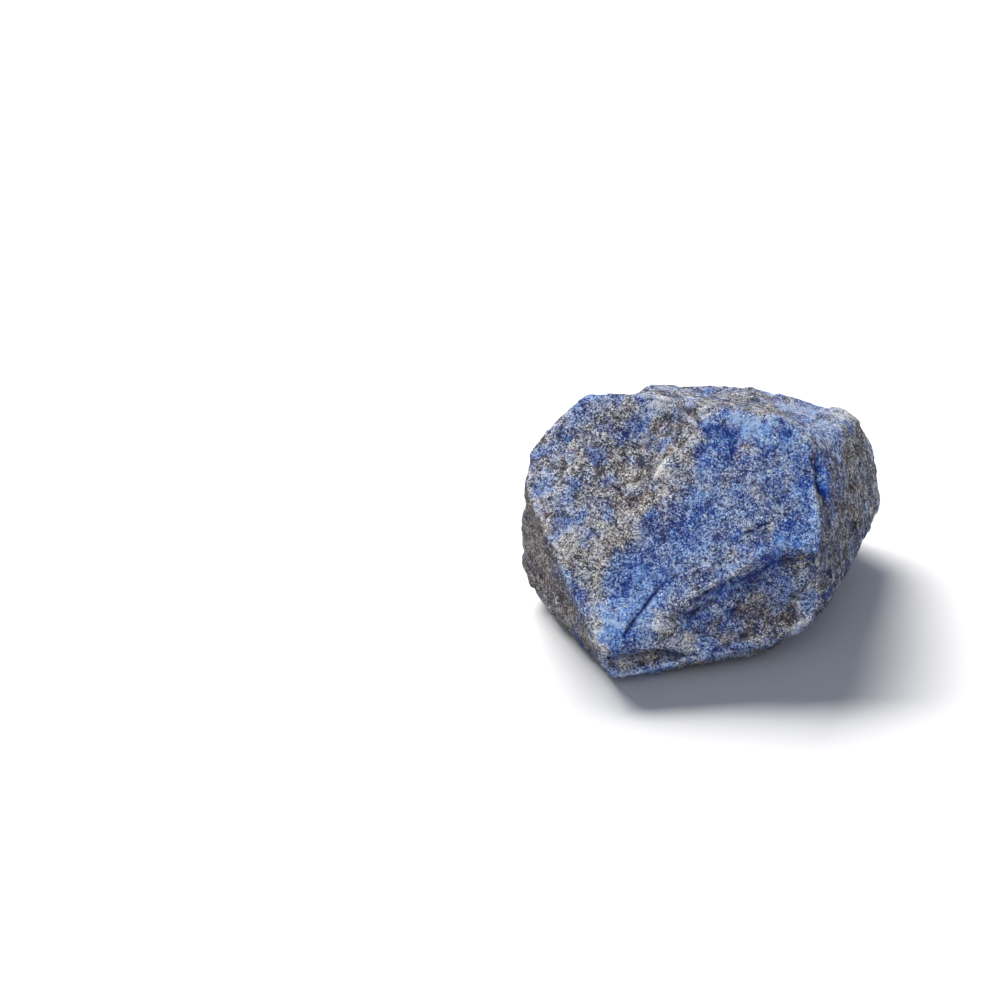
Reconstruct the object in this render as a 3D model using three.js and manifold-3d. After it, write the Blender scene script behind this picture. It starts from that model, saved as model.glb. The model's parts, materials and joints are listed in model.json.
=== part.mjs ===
// A rough lump of lapis lazuli: one broken piece of rock, about 41 mm long, resting on a flat spot underneath.
//
// A stone that is knocked off a larger block is bounded by fracture faces. Their corners are listed here edge by
// edge, and the faces are the flat facets of the hull stretched over them. The hollows that a hull can't have, which
// are thin spalls and one small pocket, are cut out of it afterwards.
//
// Millimetres, +Z up. +X runs along the stone's length and -Y towards its broad sloping face. The origin is the
// middle of the stone's footprint box, on the surface that it rests on.
import * as THREE from "three";
import { ConvexGeometry } from "three/addons/geometries/ConvexGeometry.js";
import { mergeVertices } from "three/addons/utils/BufferGeometryUtils.js";
import Module from "manifold-3d";

const wasm = await Module();
wasm.setup();

// ---------------------------------------------------------------------------------------------------------------
// Driving dimensions, in millimetres

const cutterReach = 3; // how far a cutter stands out of the stone, so that it cuts clean through the skin
const mergeDistance = 1e-4; // corners closer than this are one corner

// The pocket of pure blue at the right edge of the front face, a lens that lies along that edge.
const pocketCentre = [12.1, -0.1, 17.1];
const pocketDirection = [0.1, -0.76, -0.64];
const pocketHalfLength = 2.6;
const pocketHalfWidth = 1.35;
const sidesAroundLens = 12;
const stepsAlongLens = 8;

// The open crack that runs up the front face from the nose.
const crackWidth = 0.4;
const crackEndWidth = 0.02; // closed to the eye, but wide enough to stay a solid
const crackDepth = 1.2;
const crackRoute = [
  [-10.1, -13.7, 5.5],
  [-8.1, -11.7, 7.4],
  [-6.5, -10.4, 8.6],
  [-5.1, -9.4, 9.6],
  [-2.9, -8.5, 10.5],
];
const frontOutward = [-0.05, -0.65, 0.76];

// ---------------------------------------------------------------------------------------------------------------
// Corners of the block before anything spalled off it, [x, y, z]

// The left edge of the broad front face, from the top down to the nose.
const leftEdgeOfFront = [
  [-20.6, -0.3, 16.3],
  [-18.3, -4.4, 12.9],
  [-14.9, -10.0, 8.4],
  [-12.4, -14.8, 4.5],
];

// The shoulder at the top left, where the front face rolls over to the back.
const shoulder = [
  [-20.0, 3.2, 17.7],
  [-18.6, 4.5, 19.0],
  [-15.5, 6.9, 21.2],
  [-13.8, 7.8, 22.0],
  [-9.8, 8.0, 22.4],
  [-7.5, 7.7, 22.3],
];

// The crest between the front face and the top, and on down the right edge of the front face.
const crest = [
  [-0.9, 4.0, 21.1],
  [1.9, 4.4, 21.7],
  [4.6, 4.7, 22.1],
  [7.3, 4.1, 21.7],
  [9.1, 3.1, 21.1],
  [10.2, 1.8, 20.0],
  [10.7, 0.2, 18.7],
  [11.0, -1.9, 16.9],
  [11.3, -4.3, 14.9],
  [11.2, -7.4, 12.3],
];

// The fold where the front face turns down, from the right edge towards the nose.
const fold = [
  [9.8, -6.7, 12.8],
  [5.9, -7.1, 12.2],
  [1.1, -9.3, 10.0],
  [-3.2, -11.1, 8.2],
];

// The back rim of the top, which slopes away to the back.
const topRim = [
  [-6.5, 12.0, 19.9],
  [-5.4, 13.0, 19.7],
  [0.0, 14.2, 18.9],
  [6.0, 14.6, 18.0],
  [11.4, 14.8, 16.2],
  [16.0, 14.5, 15.3],
];

// The ridge between the top and the right side.
const rightRidge = [
  [15.1, 8.0, 17.0],
  [14.3, 4.5, 15.8],
  [13.1, 0.3, 14.9],
];

// The far edge of the right side, down to the tip and forward along the bottom.
const rightSide = [
  [17.6, 14.5, 14.0],
  [19.3, 14.8, 10.4],
  [20.3, 13.5, 7.6],
  [20.6, 11.0, 4.8],
  [19.3, 8.5, 3.8],
  [18.7, 7.0, 3.2],
  [15.6, 1.5, 3.8],
  [13.5, -5.0, 4.4],
];

// The lower rim of the front.
const lowerRim = [
  [13.2, -5.8, 4.0],
  [9.3, -9.9, 2.8],
  [5.0, -11.9, 2.4],
  [-3.2, -13.2, 1.8],
  [-8.7, -14.9, 1.0],
  [-10.5, -15.2, 0.8],
  [-11.6, -14.4, 0.8],
];

// The undercut left side.
const leftSide = [
  [-12.6, -12.0, 0.6],
  [-14.9, -6.8, 0.6],
  [-16.5, -5.2, 0.6],
  [-18.7, -1.6, 0.8],
  [-19.5, -0.7, 1.5],
  [-19.9, 0.5, 2.5],
  [-20.5, 1.5, 4.0],
  [-20.4, 1.7, 11.0],
];

// The back, which broke in a few rough planes and draws in towards the bottom.
const backSide = [
  [-18.6, 7.4, 13.5],
  [-18.2, 8.2, 6.5],
  [-15.8, 8.6, 1.5],
  [-11.0, 12.2, 16.0],
  [-9.0, 13.0, 8.0],
  [-7.0, 11.6, 1.2],
  [1.5, 15.2, 12.0],
  [2.5, 14.6, 6.0],
  [5.0, 12.6, 1.2],
  [12.5, 15.2, 10.0],
  [15.0, 13.6, 3.0],
];

// The flat spot that it rests on.
const restingSpot = [
  [-16.0, -3.5, 0],
  [-12.0, -11.5, 0],
  [-9.5, -13.5, 0],
  [-2.5, -11.0, 0],
  [5.0, -8.0, 0],
  [9.5, -3.0, 0],
  [12.0, 4.0, 0],
  [9.0, 10.5, 0],
  [-3.0, 11.5, 0],
  [-13.0, 6.5, 0],
];

// ---------------------------------------------------------------------------------------------------------------
// Spalls: thin flakes that came away and left a step. Each has the lip that it broke from, the foot of the step
// and the far edge, where the scar runs out.

// Below the fold, along the whole lower front.
const lowerSpall = {
  lip: [
    [-5.1, -11.8, 7.5],
    [-3.2, -11.1, 8.2],
    [1.1, -9.4, 10.0],
    [5.9, -7.1, 12.2],
    [7.5, -6.9, 12.5],
    [10.2, -6.8, 12.7],
  ],
  foot: [
    [-3.3, -11.4, 6.9],
    [-1.0, -10.5, 7.4],
    [3.6, -8.5, 9.3],
    [8.0, -7.2, 10.5],
    [10.2, -7.1, 11.0],
  ],
  farEdge: [
    [-2.6, -13.2, 3.3],
    [0.7, -12.5, 3.1],
    [4.9, -11.6, 3.3],
    [9.2, -9.7, 3.7],
    [11.8, -7.4, 4.7],
  ],
  outward: [0.2, -0.93, 0.3],
};

// Under the nose, above the bottom rim.
const noseSpall = {
  lip: [
    [-12.3, -14.9, 4.3],
    [-6.1, -13.7, 3.9],
    [-2.7, -13.3, 2.9],
  ],
  foot: [
    [-12.0, -14.2, 3.6],
    [-8.0, -13.3, 3.2],
    [-5.5, -12.9, 2.9],
    [-3.6, -13.0, 2.5],
  ],
  farEdge: [
    [-11.2, -14.9, 1.5],
    [-8.1, -14.6, 1.4],
    [-5.2, -13.9, 1.9],
    [-2.7, -13.3, 2.4],
  ],
  outward: [0.19, -0.96, 0.22],
};

// The grey upper left of the front face, which lies a little lower than the blue plate beside it.
const upperSpall = {
  lip: [
    [-0.9, 4.0, 21.1],
    [-4.4, 1.4, 18.7],
    [-7.0, -0.1, 17.3],
    [-11.2, -2.2, 15.3],
  ],
  foot: [
    [-2.3, 6.6, 21.4],
    [-2.4, 3.6, 19.8],
    [-5.0, 1.7, 17.9],
    [-7.4, 0.0, 16.6],
    [-11.0, -2.2, 15.1],
  ],
  farEdge: [
    [-7.6, 7.5, 22.2],
    [-12.2, 5.2, 20.6],
    [-14.4, 1.9, 18.3],
    [-13.4, -1.3, 16.0],
  ],
  outward: frontOutward,
};

// Behind the shoulder, which leaves a small step in the skyline.
const skylineSpall = {
  lip: [
    [-7.2, 7.9, 22.2],
    [-6.7, 11.8, 20.0],
  ],
  foot: [
    [-7.9, 8.2, 21.7],
    [-7.6, 12.0, 19.2],
  ],
  farEdge: [
    [-13.8, 7.9, 22.0],
    [-13.2, 11.0, 18.6],
  ],
  outward: [0, 0.4, 0.9],
};

// Across the upper back.
const upperBackSpall = {
  lip: [
    [-2.5, 14.4, 18.6],
    [-1.0, 14.9, 13.0],
    [-3.0, 14.1, 7.5],
  ],
  foot: [
    [-3.8, 13.0, 18.2],
    [-2.8, 13.3, 13.0],
    [-4.4, 12.9, 8.0],
  ],
  farEdge: [
    [-9.5, 12.2, 17.2],
    [-13.0, 10.6, 12.5],
    [-11.5, 11.8, 7.5],
  ],
  outward: [-0.3, 0.95, 0.1],
};

// Low on the back, above the resting spot.
const lowerBackSpall = {
  lip: [
    [1.6, 14.9, 8.2],
    [8.0, 15.1, 8.6],
    [15.5, 15.0, 7.6],
  ],
  foot: [
    [2.6, 13.6, 7.0],
    [8.0, 13.4, 7.2],
    [14.5, 13.8, 6.4],
  ],
  farEdge: [
    [3.5, 13.2, 2.6],
    [8.5, 13.2, 2.6],
    [14.4, 13.6, 3.4],
  ],
  outward: [0, 1, 0],
};

// ---------------------------------------------------------------------------------------------------------------
// Solids

const points = (corners) => corners.map(([x, y, z]) => new THREE.Vector3(x, y, z));

// A three.js geometry as a solid that can be joined and cut.
function solid(geometry) {
  const bare = geometry.clone();
  bare.deleteAttribute("normal");
  bare.deleteAttribute("uv");
  const merged = mergeVertices(bare, mergeDistance);
  return new wasm.Manifold(
    new wasm.Mesh({
      numProp: 3,
      vertProperties: merged.attributes.position.array,
      triVerts: new Uint32Array(merged.index.array),
    }),
  );
}

const hull = (vectors) => solid(new ConvexGeometry(vectors));

// A spall starts at a broken lip, drops to its foot and runs out to nothing at its far edge. The cutter is the hull
// of those three lines and of the lip and the far edge again, moved out of the stone.
function spall({ lip, foot, farEdge, outward }) {
  const out = new THREE.Vector3(...outward).setLength(cutterReach);
  const skin = [...points(lip), ...points(farEdge)];
  return hull([...skin, ...points(foot), ...skin.map((point) => point.clone().add(out))]);
}

// A lens: a sphere drawn out along one direction.
function lens(centre, direction, halfLength, halfWidth) {
  const upright = new THREE.Vector3(0, 1, 0);
  const shape = new THREE.SphereGeometry(1, sidesAroundLens, stepsAlongLens);
  shape.scale(halfWidth, halfLength, halfWidth);
  shape.applyQuaternion(
    new THREE.Quaternion().setFromUnitVectors(upright, new THREE.Vector3(...direction).normalize()),
  );
  shape.translate(...centre);
  return solid(shape);
}

// An open crack: a wedge for each stretch of its route, as wide as the crack in the middle and closed at its ends.
function crack(route, outward, width, depth) {
  const out = new THREE.Vector3(...outward).normalize();
  const line = points(route);
  const halfWidth = (i) => (i === 0 || i === line.length - 1 ? crackEndWidth : width) / 2;
  return line.slice(1).map((end, i) => {
    const start = line[i];
    const across = end.clone().sub(start).cross(out).normalize();
    const mouth = [start, end].flatMap((point, k) =>
      [-1, 1].map((side) => point.clone().addScaledVector(across, side * halfWidth(i + k))),
    );
    const raised = mouth.map((point) => point.clone().addScaledVector(out, width));
    const bottom = [start, end].map((point) => point.clone().addScaledVector(out, -depth));
    return hull([...mouth, ...raised, ...bottom]);
  });
}

const block = hull(
  points([
    ...leftEdgeOfFront,
    ...shoulder,
    ...crest,
    ...fold,
    ...topRim,
    ...rightRidge,
    ...rightSide,
    ...lowerRim,
    ...leftSide,
    ...backSide,
    ...restingSpot,
  ]),
);

const brokenBlock = [
  spall(lowerSpall),
  spall(noseSpall),
  spall(upperSpall),
  spall(skylineSpall),
  spall(upperBackSpall),
  spall(lowerBackSpall),
  lens(pocketCentre, pocketDirection, pocketHalfLength, pocketHalfWidth),
  ...crack(crackRoute, frontOutward, crackWidth, crackDepth),
].reduce((rock, cutter) => rock.subtract(cutter), block);

// ---------------------------------------------------------------------------------------------------------------
// The part

const { vertProperties, triVerts } = brokenBlock.getMesh();
const geometry = new THREE.BufferGeometry();
geometry.setAttribute("position", new THREE.BufferAttribute(new Float32Array(vertProperties), 3));
geometry.setIndex(new THREE.BufferAttribute(new Uint32Array(triVerts), 1));
geometry.computeVertexNormals();

const lapis = new THREE.MeshStandardMaterial({ color: 0x5a6a96, roughness: 0.85, metalness: 0 });
const stone = new THREE.Mesh(geometry, lapis);
stone.name = "stone";

const part = new THREE.Group();
part.add(stone);

export default part;
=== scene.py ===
# %% [markdown]
# # A rough lump of lapis lazuli
# This lesson dresses a plain CAD block as a broken stone. The block already has the right size and the
# right big faces. What it lacks is everything that a hammer and years among other stones leave: rounded
# edges, scaly flakes, cracks, sugary grain, and the patchy blue, grey and rusty colour of the rock.

# %% Load the block
import json
import math

import bpy
import numpy as np
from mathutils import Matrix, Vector, noise

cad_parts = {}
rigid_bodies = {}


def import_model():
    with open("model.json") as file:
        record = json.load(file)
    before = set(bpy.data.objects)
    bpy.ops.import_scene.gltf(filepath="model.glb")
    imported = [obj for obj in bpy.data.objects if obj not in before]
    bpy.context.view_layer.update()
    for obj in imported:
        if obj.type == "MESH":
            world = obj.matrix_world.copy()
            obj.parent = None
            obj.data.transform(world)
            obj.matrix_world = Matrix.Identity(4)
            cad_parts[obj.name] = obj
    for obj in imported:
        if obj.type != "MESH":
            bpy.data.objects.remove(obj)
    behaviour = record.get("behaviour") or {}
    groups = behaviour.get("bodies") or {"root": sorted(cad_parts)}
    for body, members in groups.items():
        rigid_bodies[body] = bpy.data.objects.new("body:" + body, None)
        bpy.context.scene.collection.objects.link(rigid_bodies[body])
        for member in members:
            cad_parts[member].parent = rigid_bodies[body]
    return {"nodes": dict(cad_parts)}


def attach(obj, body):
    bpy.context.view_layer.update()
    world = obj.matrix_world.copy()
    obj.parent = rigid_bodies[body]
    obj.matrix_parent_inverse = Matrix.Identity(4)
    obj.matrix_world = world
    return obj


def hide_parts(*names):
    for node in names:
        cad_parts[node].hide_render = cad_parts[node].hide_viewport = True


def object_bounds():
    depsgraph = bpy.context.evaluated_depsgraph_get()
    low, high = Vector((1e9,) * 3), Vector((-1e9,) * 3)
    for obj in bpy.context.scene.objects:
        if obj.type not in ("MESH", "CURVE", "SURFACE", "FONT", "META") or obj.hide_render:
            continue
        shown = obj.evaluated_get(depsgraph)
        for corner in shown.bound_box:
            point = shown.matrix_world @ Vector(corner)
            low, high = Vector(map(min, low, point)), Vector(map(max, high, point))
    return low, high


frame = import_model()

MM = 0.001


def in_mm(place):
    """A place in rounded millimetres, for printing."""
    return [round(c / MM, 1) for c in place]


block_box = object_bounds()
print("block from", in_mm(block_box[0]), "to", in_mm(block_box[1]), "mm")

# %% [markdown]
# ## The camera
# A small object is shot with a long lens, so that its faces keep their proportions. The camera looks down
# at 38 degrees along +Y, and it aims at a spot on the table beside the stone, which puts the stone right
# of the middle.

# %% Place the camera
lens = 100.0
sensor = 36.0
camera_height_angle = math.radians(38)
camera_distance = 326 * MM
aim_spot = Vector((-23.15, 17.4, 0.0)) * MM
to_camera = Vector((0, -math.cos(camera_height_angle), math.sin(camera_height_angle)))
camera_place = aim_spot + camera_distance * to_camera

bpy.ops.object.camera_add(location=camera_place, rotation=(math.radians(90) - camera_height_angle, 0, 0))
camera = bpy.context.object
camera.name = "Camera"
camera.data.lens = lens
camera.data.sensor_width = sensor
camera.data.clip_start = 10 * MM
camera.data.dof.use_dof = False
bpy.context.scene.camera = camera
print("camera at", in_mm(camera_place), "mm")

# %% [markdown]
# ## The table
# The stone lies on a plain pale table. It is far wider than the stone, so that no low view sees its edge
# nearby.

# %% Lay the table
table_width = 3.0


def deselect_all():
    for thing in bpy.context.selected_objects:
        thing.select_set(False)


deselect_all()
bpy.ops.mesh.primitive_plane_add(size=table_width, location=(0, 0, 0))
table = bpy.context.object
table.name = "Table"
table_paint = bpy.data.materials.new("Pale table")
table_paint.use_nodes = True
table_shader = table_paint.node_tree.nodes["Principled BSDF"]
table_shader.inputs["Base Color"].default_value = (0.9, 0.9, 0.9, 1)
table_shader.inputs["Roughness"].default_value = 0.9
table_shader.inputs["Specular IOR Level"].default_value = 0.0
table.data.materials.append(table_paint)
print("table", table_width, "m wide")

# %% [markdown]
# ## Light on the table
# A large soft lamp behind the stone and to its left lights the table and throws the shadow forward. It
# lights nothing else: light linking lets each lamp have its own list of things to light, so the stone can
# have softer lamps of its own later on, which would wash this shadow out. The world gives the little light
# from all round, and the camera sees a paler backdrop than the one that lights.

# %% Hang the table's lamp
def soft_lamp(name, direction, distance, width, height, watts, colour, lit):
    """An area lamp that looks at the stone from a direction and lights only the things that are listed."""
    aim = Vector((0, 0, 0.01))
    place = aim + Vector(direction).normalized() * distance
    deselect_all()
    bpy.ops.object.light_add(type="AREA", location=place)
    lamp = bpy.context.object
    lamp.name = name
    lamp.rotation_euler = (place - aim).to_track_quat("Z", "Y").to_euler()
    lamp.data.shape = "ELLIPSE"
    lamp.data.size = width
    lamp.data.size_y = height
    lamp.data.energy = watts
    lamp.data.color = colour
    group = bpy.data.collections.new(name + " lights")
    for thing in lit:
        group.objects.link(thing)
    lamp.light_linking.receiver_collection = group
    return lamp


behind_left = (-0.55, 1.22, 1.0)
far_off = 4.0
warm_white = (1.0, 0.985, 0.965)
soft_lamp(
    "Table lamp", behind_left, far_off, width=3.4, height=1.2, watts=365.0, colour=warm_white, lit=[table]
)
print("table lamp hung")

# %% Light the room
room_colour = (0.93, 1.0, 1.19, 1)
room_strength = 0.225
backdrop_colour = (0.97, 0.97, 0.985, 1)

world = bpy.data.worlds.new("Studio")
bpy.context.scene.world = world
world.use_nodes = True
room = world.node_tree
glow = room.nodes["Background"]
glow.inputs["Color"].default_value = room_colour
glow.inputs["Strength"].default_value = room_strength
backdrop = room.nodes.new("ShaderNodeBackground")
backdrop.inputs["Color"].default_value = backdrop_colour
straight = room.nodes.new("ShaderNodeLightPath")
choice = room.nodes.new("ShaderNodeMixShader")
room.links.new(straight.outputs["Is Camera Ray"], choice.inputs[0])
room.links.new(glow.outputs[0], choice.inputs[1])
room.links.new(backdrop.outputs[0], choice.inputs[2])
room.links.new(choice.outputs[0], room.nodes["World Output"].inputs["Surface"])

bpy.context.scene.view_settings.view_transform = "Standard"
bpy.context.scene.view_settings.look = "None"
print("room lit at", room_strength)

# %% [markdown]
# ## The raw stone
# The block's mesh is loose triangles, so a copy of it is merged first. A voxel remesh then turns it into
# small even quads, which can be carved anywhere, and a few rounds of smoothing take the machine sharpness
# off its edges.

# %% Copy, merge and remesh the block
merge_distance = 0.001 * MM
grain_step = 0.22 * MM
edge_rounds = 5


def pick(thing):
    """Selects one object alone and makes it the active one."""
    deselect_all()
    bpy.context.view_layer.objects.active = thing
    thing.select_set(True)


def smooth(name, rounds, only=None):
    """Smooths the stone, or only the points of a vertex group, and applies that."""
    modifier = stone.modifiers.new(name, "SMOOTH")
    modifier.factor = 0.5
    modifier.iterations = rounds
    if only:
        modifier.vertex_group = only.name
    bpy.ops.object.modifier_apply(modifier=modifier.name)


stone = bpy.data.objects.new("lapis_stone", frame["nodes"]["stone"].data.copy())
bpy.context.scene.collection.objects.link(stone)
pick(stone)
bpy.ops.object.mode_set(mode="EDIT")
bpy.ops.mesh.select_all(action="SELECT")
bpy.ops.mesh.remove_doubles(threshold=merge_distance)
bpy.ops.object.mode_set(mode="OBJECT")

remesh = stone.modifiers.new("Even quads", "REMESH")
remesh.mode = "VOXEL"
remesh.voxel_size = grain_step
bpy.ops.object.modifier_apply(modifier=remesh.name)

# A thin sliver of the block can leave a voxel floating by itself. All that isn't joined to the far end goes.
bpy.ops.object.mode_set(mode="EDIT")
bpy.ops.mesh.select_all(action="DESELECT")
bpy.ops.object.mode_set(mode="OBJECT")
far_end = max(stone.data.vertices, key=lambda v: v.co.x)
far_end.select = True
bpy.ops.object.mode_set(mode="EDIT")
bpy.ops.mesh.select_linked()
bpy.ops.mesh.select_all(action="INVERT")
bpy.ops.mesh.delete(type="VERT")
bpy.ops.object.mode_set(mode="OBJECT")

smooth("Rounded edges", edge_rounds)
print("raw stone:", len(stone.data.vertices), "points")

# %% [markdown]
# ## Tools for carving and painting
# Carving and painting both work by strokes: a stroke is a short route over the surface, and what it does
# fades with the distance from it. The routes on the front are aimed through the camera, as in projection
# painting: a route holds spots of the 1000 x 1000 frame, and each is carried along the line of sight until
# it meets the stone. So a stroke lies on the stone whichever side it is looked at from.

# %% Aim strokes through the camera
frame_size = 1000
stone_middle = (block_box[0] + block_box[1]) / 2


def points_of(mesh):
    flat = np.empty(len(mesh.vertices) * 3)
    mesh.vertices.foreach_get("co", flat)
    return flat.reshape(-1, 3)


def on_stone(spot):
    """The place on the stone that the camera sees at a spot of the frame, in metres."""
    x, y = spot
    sideways = (x - frame_size / 2) / frame_size * sensor / lens
    upward = (frame_size / 2 - y) / frame_size * sensor / lens
    up = Vector((0, math.sin(camera_height_angle), math.cos(camera_height_angle)))
    sight = Vector((sideways, 0, 0)) + upward * up - to_camera
    sight.normalize()
    hit, place, _, _ = stone.ray_cast(camera_place, sight)
    if not hit:  # just past the rim, so the nearest bit of rim
        beside = camera_place + sight * sight.dot(stone_middle - camera_place)
        place = stone.closest_point_on_mesh(beside)[1]
    return place


def route_on_stone(spots):
    """A route of spots carried onto the stone. A route that already holds places stays as it is."""
    if isinstance(spots, np.ndarray):
        return spots
    return np.array([on_stone(spot) for spot in spots])


def below_rim(back, down):
    """A route under the front rim, where the camera's line of sight only grazes the stone."""
    front_rim = [(650, 669), (675, 664), (700, 658), (725, 652), (750, 646), (775, 640)]
    return route_on_stone(front_rim) + np.array([0, back, -down]) * MM


bpy.context.view_layer.update()
points = points_of(stone.data)
plate_middle = (700, 500)
print("the middle of the blue plate is at", in_mm(on_stone(plate_middle)), "mm")

# %% [markdown]
# ## How far a stroke reaches
# Every stroke needs the distance of each point from its route, and some need to know how far along it
# they are or on which side of it. A little random wander keeps the strokes from looking ruled.

# %% Measure the distance from a route
def along(route, places):
    """For every place: distance, share of the route gone (0 to 1), offset and the route's heading there."""
    best = np.full(len(places), np.inf)
    share = np.zeros(len(places))
    offset = np.zeros((len(places), 3))
    heading = np.zeros((len(places), 3))
    lengths = np.linalg.norm(np.diff(route, axis=0), axis=1)
    gone = np.concatenate([[0], np.cumsum(lengths)])
    for i, length in enumerate(lengths):
        leg = route[i + 1] - route[i]
        t = np.clip((places - route[i]) @ leg / length**2, 0, 1)
        away = places - route[i] - t[:, None] * leg
        far = np.linalg.norm(away, axis=1)
        closer = far < best
        best[closer] = far[closer]
        share[closer] = (gone[i] + t[closer] * length) / gone[-1]
        offset[closer] = away[closer]
        heading[closer] = leg / length
    return best, share, offset, heading


def fade(distance, reach):
    """1 on the stroke, 0 at its reach, smooth between."""
    t = np.clip(1 - distance / reach, 0, 1)
    return t * t * (3 - 2 * t)


def wander(places, size, amount):
    """A smooth random shift for every place, which keeps strokes from looking ruled."""
    return np.array([noise.noise_vector(Vector(p) / size) for p in places]) * amount


# Without a seed the vector noise starts from the clock, and every run would carve and paint differently.
wander_seed = 1
noise.seed_set(wander_seed)
shaken = points + wander(points, 1.6 * MM, 0.45 * MM) + wander(points, 0.6 * MM, 0.15 * MM)
print("strokes wander by up to", round(float(np.abs(shaken - points).max() / MM), 2), "mm")

# %% [markdown]
# ## Carving
# A crack is a deep narrow groove that closes at both ends. A flake's edge is a step: high on one side of
# the route, running out to nothing a millimetre or two further on. A bruise is a shallow dent. They are
# all added up in one height for every point of the stone, to be raised or sunk along its normal. Every
# width, reach, radius, depth and rise is in millimetres, and every list of spots carries the name of the
# place that it lies on.

# %% Make the carving tools
height = np.zeros(len(points))
step_edge = 0.22


def taper(share):
    """1 along most of a route, falling to 0 over the last eighth at either end."""
    return np.clip(np.minimum(share, 1 - share) * 8, 0, 1)


def groove(width, depth, *routes, **named_routes):
    for route in (*routes, *named_routes.values()):
        distance, share, _, _ = along(route_on_stone(route), shaken * 0.35 + points * 0.65)
        height[:] -= depth * MM * fade(distance, width * MM) * (0.35 + 0.65 * taper(share))


def ridge(width, rise, *routes, **named_routes):
    for route in (*routes, *named_routes.values()):
        distance, _, _, _ = along(route_on_stone(route), shaken)
        height[:] += rise * MM * fade(distance, width * MM)


def step(rise, reach, **named_routes):
    """The side on the left of the route, as the camera sees it, stands higher."""
    for route in named_routes.values():
        distance, share, offset, heading = along(route_on_stone(route), shaken)
        left = np.cross(np.array(to_camera), heading)
        side = (offset * left).sum(1)
        near = fade(distance, reach * MM) * taper(share)
        height[:] += rise * MM * near * np.clip(side / (step_edge * MM), -1, 1) * 0.5


def dent(x, y, radius, depth):
    distance = np.linalg.norm(shaken - np.array(on_stone((x, y))), axis=1)
    height[:] -= depth * MM * fade(distance, radius * MM)


print("heights for", len(height), "points")

# %% Carve the cracks
crack = [(626, 644), (624, 636), (633, 621), (646, 604), (656, 592), (663, 584)]
groove(0.25, 1, crack)
groove(0.26, 0.15, crack_tail=[(665, 582), (672, 578), (680, 573)])
groove(0.7, 0.15, below_lip=[(683, 614), (693, 611), (702, 606), (712, 603)])
groove(0.8, 0.4, ledge_hollow=[(732, 644), (741, 638), (750, 634), (759, 629)])
groove(0.28, 0.4, slit=[(757, 528), (763, 525), (770, 522)])
groove(0.34, 0.5, ledge_nick=[(789, 594), (794, 597), (799, 598)])
groove(0.3, 0.35, end_face_nick=[(825, 494), (826, 502), (827, 512)])
groove(0.45, 0.3, pocket_wall=[(811, 455), (813, 466), (816, 478), (819, 489)])
print("deepest cut", round(float(height.min() / MM), 2), "mm")

# %% Break flakes off the faces
step(0.25, 1.6, lip=[(687, 601), (706, 592), (722, 583), (737, 574), (748, 563), (758, 558)])
ridge(0.8, 0.35, lip_crest=[(735, 577), (748, 568), (760, 562), (775, 557), (790, 555), (806, 553)])
step(0.5, 1.5, below_lip=[(684, 614), (695, 611), (707, 603), (716, 601)])
step(0.4, 1.6, foot=[(602, 655), (622, 655), (640, 652), (656, 650), (672, 652), (690, 657)])
step(0.22, 1.4, slit_side=[(724, 541), (735, 535), (746, 531), (757, 528)])
step(-0.22, 1.3, middle_scale=[(740, 489), (748, 481), (758, 478), (765, 485), (770, 494)])
step(-0.2, 1.2, left_scale=[(685, 498), (692, 491), (699, 488), (707, 494)])
step(0.22, 1, upper_chip=[(760, 452), (764, 459), (769, 466)])
step(0.18, 0.9, right_scale=[(780, 480), (787, 477), (794, 476)])
step(-0.2, 1, top_scale=[(728, 442), (718, 441), (709, 443)])
step(0.3, 2.2, grey_ridge=[
    (705, 424), (697, 437), (686, 447), (673, 456), (658, 468), (648, 479), (636, 488)])
step(0.25, 1.6, shoulder=[(640, 404), (652, 409), (668, 409), (684, 410), (702, 420)])
step(0.2, 1.1, left_flake=[(570, 478), (576, 489), (581, 497)])
step(0.18, 1.2, grey_flake=[(600, 470), (608, 478), (611, 490)])
ridge(1.7, 0.75, below_rim(back=1.1, down=1.4))
ridge(0.5, 0.2, plate_edge=[(808, 460), (812, 480), (815, 500), (816, 530), (817, 550)])
ridge(0.9, 0.14, plate_brow=[(705, 426), (730, 420), (755, 413), (780, 421), (796, 431), (805, 446)])
print("highest flake", round(float(height.max() / MM), 2), "mm")

# %% Bruise the faces
# Each bruise is x, y, radius, depth.
bruises = {
    "grey_face": (592, 455, 2.2, 0.3),
    "grey_top": (612, 418, 1.8, 0.22),
    "ridge_side": (640, 425, 1.6, 0.22),
    "left_corner": (571, 440, 1.5, 0.2),
    "grey_foot": (625, 500, 2.4, 0.25),
    "lip_root": (690, 617, 1.6, 0.2),
    "ledge_foot": (728, 640, 1.8, 0.25),
    "ledge_corner": (745, 637, 1, 0.35),
    "trough": (755, 583, 2, 0.3),
    "ledge_right": (785, 622, 2.2, 0.3),
    "plate_top": (747, 443, 1.2, 0.18),
    "end_face": (855, 556, 0.9, 0.4),
}
for bruise in bruises.values():
    dent(*bruise)
print("carved", int((np.abs(height) > 0.02 * MM).sum()), "points")

carve = stone.data.attributes.new("carve", "FLOAT", "POINT")
carve.data.foreach_set("value", height.astype(np.float32))

# %% [markdown]
# ## Node helpers
# The broken texture and the material are both node trees. A few helpers make their formulas short to
# write: one puts a node in a tree and fills its sockets, and the others each stand for one kind of node.
# Sizes and shifts are in millimetres.

# %% Put a node and do sums with it
def put(tree, kind, sockets=None, **settings):
    """Adds a node, sets it up, and fills its sockets with values or with links."""
    node = tree.nodes.new(kind)
    for name, value in settings.items():
        setattr(node, name, value)
    for socket, value in (sockets or {}).items():
        if isinstance(value, bpy.types.NodeSocket):
            tree.links.new(value, node.inputs[socket])
        else:
            node.inputs[socket].default_value = value
    return node


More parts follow.
